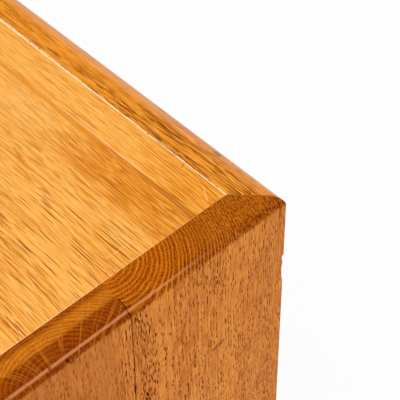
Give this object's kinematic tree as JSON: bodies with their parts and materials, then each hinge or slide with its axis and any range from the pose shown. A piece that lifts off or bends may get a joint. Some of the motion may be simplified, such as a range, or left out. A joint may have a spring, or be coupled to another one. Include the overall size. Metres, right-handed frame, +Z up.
{
  "type": "writing desk",
  "caption": "Single pedestal oak writing desk: slab ends to the floor, framed flush top with rolled edges, dovetailed side hung drawers with wooden pulls.",
  "frame": {"origin": "on the floor, under the centre of the desk's extent with its pulls", "axes": "+X to the sitter's right along the front, -Y out of the drawer fronts towards the sitter, +Z up"},
  "size_m": [1.2, 0.647, 0.73],
  "materials": {
    "oak_solid": "satin lacquer",
    "oak_veneer": "satin lacquer",
    "drawer_wood": "thin clear lacquer",
    "plywood": "bare plywood",
    "hardwood": "waxed",
    "glide_plastic": "matt"
  },
  "bodies": {
    "carcass": {"end_panel_left": "oak_solid", "end_panel_right": "oak_solid", "front_rail": "oak_solid", "back_apron": "oak_solid", "mitre_splines": "plywood", "top_field": "oak_veneer", "top_strip_front": "oak_solid", "top_strip_back": "oak_solid", "pedestal_side": "oak_solid", "pedestal_bottom": "oak_solid", "pedestal_back_board": "plywood", "plinth_front": "oak_solid", "plinth_back": "oak_solid", "carcass_dowels": "hardwood", "glue_blocks": "hardwood", "floor_glides": "glide_plastic", "wide_drawer_runner_left": "hardwood", "wide_drawer_runner_right": "hardwood", "top_drawer_runner_left": "hardwood", "top_drawer_runner_right": "hardwood", "second_drawer_runner_left": "hardwood", "second_drawer_runner_right": "hardwood", "third_drawer_runner_left": "hardwood", "third_drawer_runner_right": "hardwood", "deep_drawer_runner_left": "hardwood", "deep_drawer_runner_right": "hardwood"},
    "wide_drawer": {"wide_drawer_front": "oak_solid", "wide_drawer_side_left": "drawer_wood", "wide_drawer_side_right": "drawer_wood", "wide_drawer_back": "drawer_wood", "wide_drawer_bottom": "plywood", "wide_drawer_pull_left": "oak_solid", "wide_drawer_pull_right": "oak_solid", "wide_drawer_muntin": "drawer_wood"},
    "top_drawer": {"top_drawer_front": "oak_solid", "top_drawer_side_left": "drawer_wood", "top_drawer_side_right": "drawer_wood", "top_drawer_back": "drawer_wood", "top_drawer_bottom": "plywood", "top_drawer_pull": "oak_solid"},
    "second_drawer": {"second_drawer_front": "oak_solid", "second_drawer_side_left": "drawer_wood", "second_drawer_side_right": "drawer_wood", "second_drawer_back": "drawer_wood", "second_drawer_bottom": "plywood", "second_drawer_pull": "oak_solid"},
    "third_drawer": {"third_drawer_front": "oak_solid", "third_drawer_side_left": "drawer_wood", "third_drawer_side_right": "drawer_wood", "third_drawer_back": "drawer_wood", "third_drawer_bottom": "plywood", "third_drawer_pull": "oak_solid"},
    "deep_drawer": {"deep_drawer_front": "oak_solid", "deep_drawer_side_left": "drawer_wood", "deep_drawer_side_right": "drawer_wood", "deep_drawer_back": "drawer_wood", "deep_drawer_bottom": "plywood", "deep_drawer_pull": "oak_solid"}
  },
  "joints": [
    {"name": "wide_drawer_slide", "type": "slide", "parent": "carcass", "child": "wide_drawer", "axis": [0, -1, 0], "range_m": [0, 0.42]},
    {"name": "top_drawer_slide", "type": "slide", "parent": "carcass", "child": "top_drawer", "axis": [0, -1, 0], "range_m": [0, 0.42]},
    {"name": "second_drawer_slide", "type": "slide", "parent": "carcass", "child": "second_drawer", "axis": [0, -1, 0], "range_m": [0, 0.42]},
    {"name": "third_drawer_slide", "type": "slide", "parent": "carcass", "child": "third_drawer", "axis": [0, -1, 0], "range_m": [0, 0.42]},
    {"name": "deep_drawer_slide", "type": "slide", "parent": "carcass", "child": "deep_drawer", "axis": [0, -1, 0], "range_m": [0, 0.42]}
  ]
}
